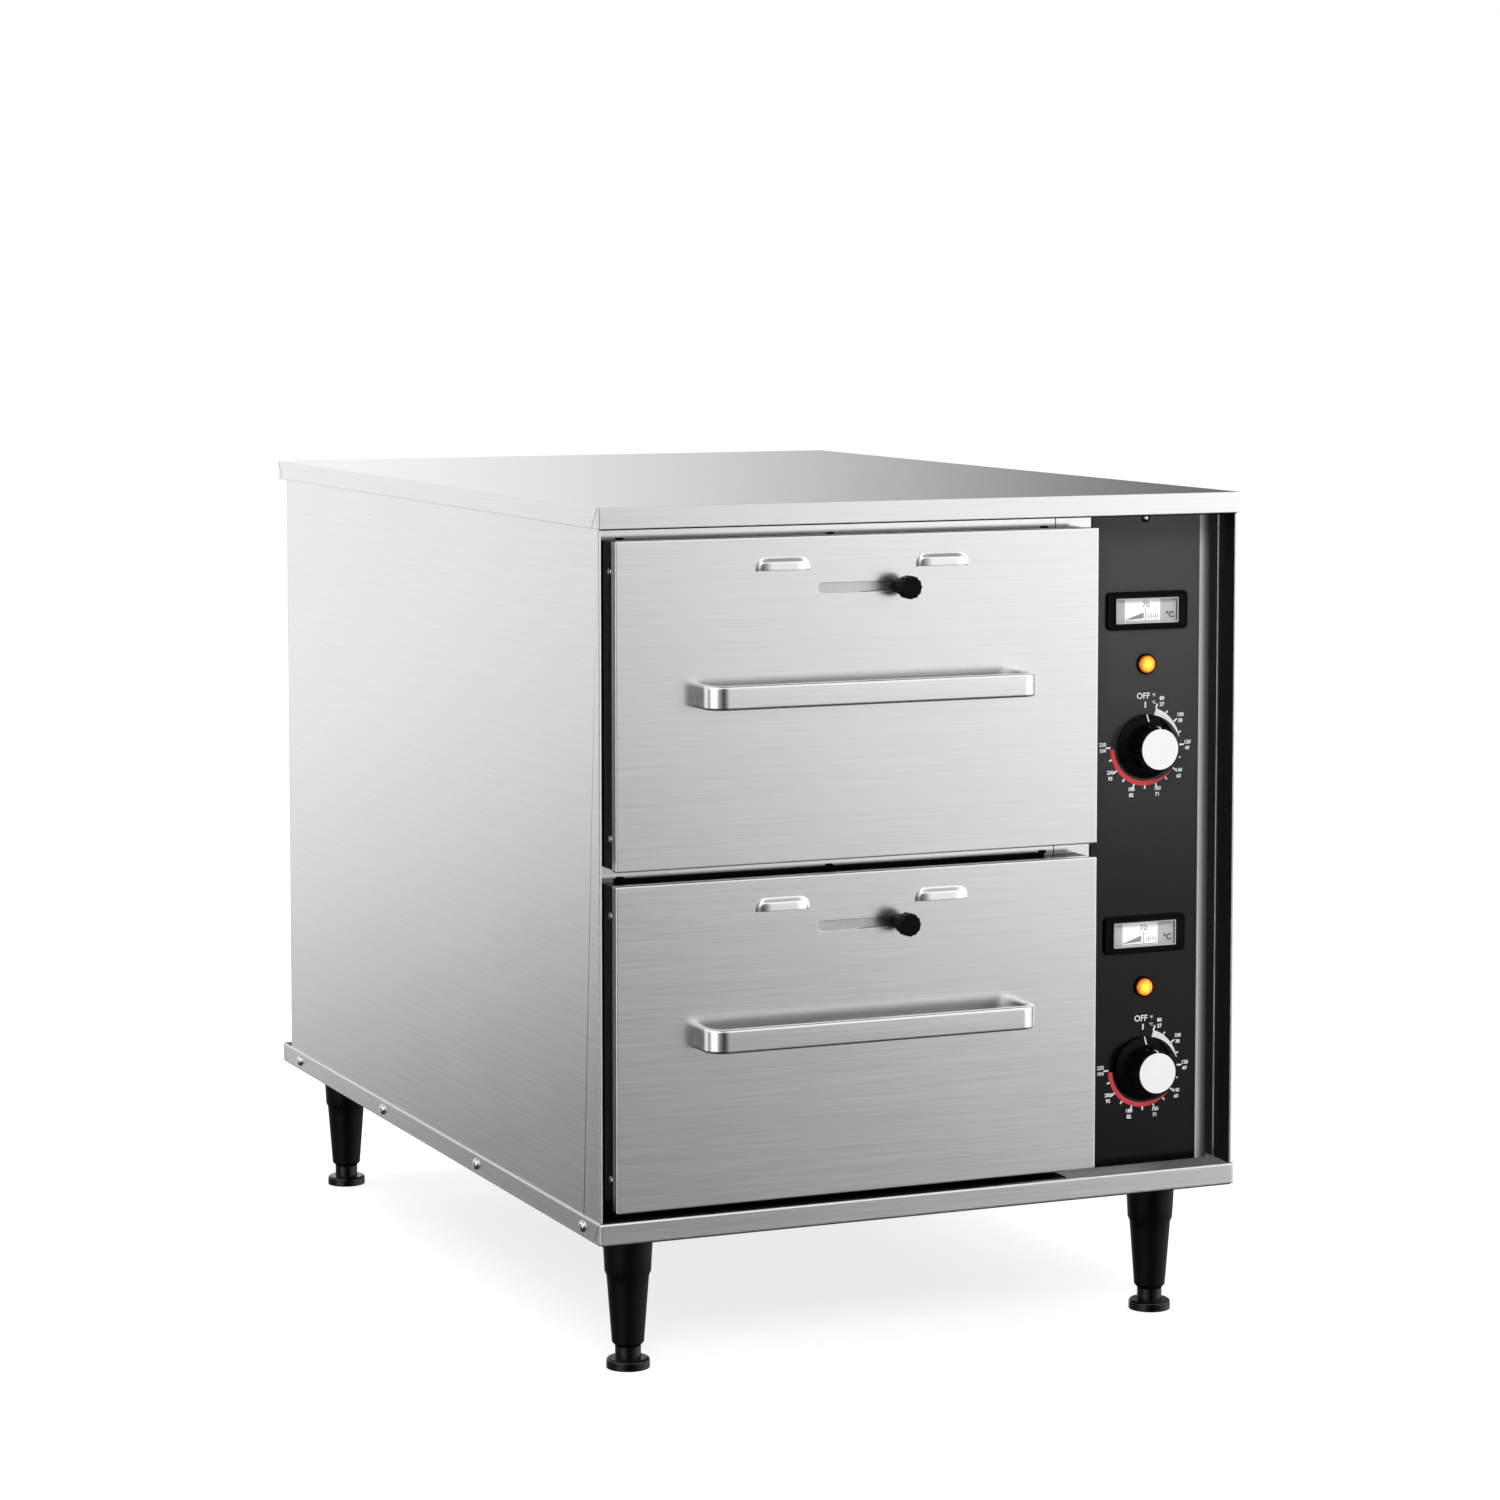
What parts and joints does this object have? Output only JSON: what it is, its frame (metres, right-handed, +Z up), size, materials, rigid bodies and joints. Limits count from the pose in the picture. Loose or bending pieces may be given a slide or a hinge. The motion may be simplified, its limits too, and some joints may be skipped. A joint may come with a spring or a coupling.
{
  "type": "countertop warming drawer cabinet",
  "caption": "Countertop warming cabinet with stacked sliding drawers for hot food pans, sliding vents, thermostat knobs, lamps and adjustable legs.",
  "frame": {"origin": "centre of the bounding box on the floor, under the feet", "axes": "+X to the right seen from the front, +Y towards the back, +Z up; the drawers open towards -Y"},
  "size_m": [0.5074, 0.765, 0.613],
  "materials": {
    "stainless": "fine straight brushing, satin",
    "stainless_inner": "plain mill finish",
    "black_enamel": "smooth satin black",
    "black_plastic": "moulded, satin",
    "clear_lens": "clear, polished",
    "dial_card": "printed card",
    "amber_lens": "translucent amber, ribbed",
    "knob_disc": "bright satin disc",
    "heater_tube": "heat-tinted tube",
    "insulation": "mineral fibre blanket",
    "zinc_steel": "bright zinc plate",
    "thermostat_metal": "pressed metal",
    "black_legs": "semi-gloss black",
    "foot_black": "moulded black",
    "screw_steel": "bright pan-head screws",
    "terminal_plastic": "moulded"
  },
  "bodies": {
    "cabinet": {"top_cap": "stainless", "base_tray": "stainless", "left_side_panel": "stainless", "right_side_panel": "stainless", "rear_panel": "stainless", "face_frame": "stainless", "control_bay_wall": "stainless_inner", "control_panel": "black_enamel", "upper_liner": "stainless_inner", "lower_liner": "stainless_inner", "upper_heating_element": "heater_tube", "lower_heating_element": "heater_tube", "insulation_blankets": "insulation", "outer_slides": "zinc_steel", "upper_thermometer_bezel": "black_plastic", "upper_thermometer_lens": "clear_lens", "upper_thermometer_card": "dial_card", "lower_thermometer_bezel": "black_plastic", "lower_thermometer_lens": "clear_lens", "lower_thermometer_card": "dial_card", "upper_lamp_holder": "black_plastic", "upper_lamp_lens": "amber_lens", "lower_lamp_holder": "black_plastic", "lower_lamp_lens": "amber_lens", "upper_thermostat": "thermostat_metal", "lower_thermostat": "thermostat_metal", "legs": "black_legs", "cabinet_screws": "screw_steel", "cord_gland": "black_plastic", "terminal_block": "terminal_plastic"},
    "upper_drawer": {"upper_drawer_front": "stainless", "upper_front_liner": "black_enamel", "upper_drawer_screws": "screw_steel", "upper_handle": "stainless", "upper_carriage": "stainless_inner", "upper_pan": "stainless_inner", "upper_inner_slides": "zinc_steel"},
    "upper_mid_members": {"upper_mid_slides": "zinc_steel"},
    "upper_vent": {"upper_vent_plate": "zinc_steel", "upper_vent_knob": "black_plastic"},
    "upper_knob": {"upper_thermostat_spindle": "zinc_steel", "upper_thermostat_knob": "black_plastic", "upper_knob_face": "knob_disc"},
    "lower_drawer": {"lower_drawer_front": "stainless", "lower_front_liner": "black_enamel", "lower_drawer_screws": "screw_steel", "lower_handle": "stainless", "lower_carriage": "stainless_inner", "lower_pan": "stainless_inner", "lower_inner_slides": "zinc_steel"},
    "lower_mid_members": {"lower_mid_slides": "zinc_steel"},
    "lower_vent": {"lower_vent_plate": "zinc_steel", "lower_vent_knob": "black_plastic"},
    "lower_knob": {"lower_thermostat_spindle": "zinc_steel", "lower_thermostat_knob": "black_plastic", "lower_knob_face": "knob_disc"},
    "front_left_foot_body": {"front_left_foot": "foot_black"},
    "front_right_foot_body": {"front_right_foot": "foot_black"},
    "rear_left_foot_body": {"rear_left_foot": "foot_black"},
    "rear_right_foot_body": {"rear_right_foot": "foot_black"}
  },
  "joints": [
    {"name": "upper_drawer_slide", "type": "slide", "parent": "cabinet", "child": "upper_drawer", "axis": [0, -1, 0], "range_m": [0, 0.54]},
    {"name": "upper_slide_extension", "type": "slide", "parent": "cabinet", "child": "upper_mid_members", "axis": [0, -1, 0], "range_m": [0, 0.27]},
    {"name": "upper_vent_slide", "type": "slide", "parent": "upper_drawer", "child": "upper_vent", "axis": [-1, 0, 0], "range_m": [0, 0.056]},
    {"name": "upper_knob_turn", "type": "hinge", "parent": "cabinet", "child": "upper_knob", "pos_m": [0.1885, -0.33, 0.4264], "axis": [0, 1, 0], "range_deg": [0, 270]},
    {"name": "lower_drawer_slide", "type": "slide", "parent": "cabinet", "child": "lower_drawer", "axis": [0, -1, 0], "range_m": [0, 0.54]},
    {"name": "lower_slide_extension", "type": "slide", "parent": "cabinet", "child": "lower_mid_members", "axis": [0, -1, 0], "range_m": [0, 0.27]},
    {"name": "lower_vent_slide", "type": "slide", "parent": "lower_drawer", "child": "lower_vent", "axis": [-1, 0, 0], "range_m": [0, 0.056]},
    {"name": "lower_knob_turn", "type": "hinge", "parent": "cabinet", "child": "lower_knob", "pos_m": [0.1885, -0.33, 0.18785], "axis": [0, 1, 0], "range_deg": [0, 270]},
    {"name": "front_left_foot_turn", "type": "hinge", "parent": "cabinet", "child": "front_left_foot_body", "pos_m": [-0.21, -0.304, 0], "axis": [0, 0, 1], "continuous": true},
    {"name": "front_right_foot_turn", "type": "hinge", "parent": "cabinet", "child": "front_right_foot_body", "pos_m": [0.21, -0.304, 0], "axis": [0, 0, 1], "continuous": true},
    {"name": "rear_left_foot_turn", "type": "hinge", "parent": "cabinet", "child": "rear_left_foot_body", "pos_m": [-0.21, 0.3395, 0], "axis": [0, 0, 1], "continuous": true},
    {"name": "rear_right_foot_turn", "type": "hinge", "parent": "cabinet", "child": "rear_right_foot_body", "pos_m": [0.21, 0.3395, 0], "axis": [0, 0, 1], "continuous": true}
  ],
  "couplings": [
    {"joint": "upper_slide_extension", "follows": "upper_drawer_slide", "ratio": 0.5},
    {"joint": "lower_slide_extension", "follows": "lower_drawer_slide", "ratio": 0.5}
  ]
}
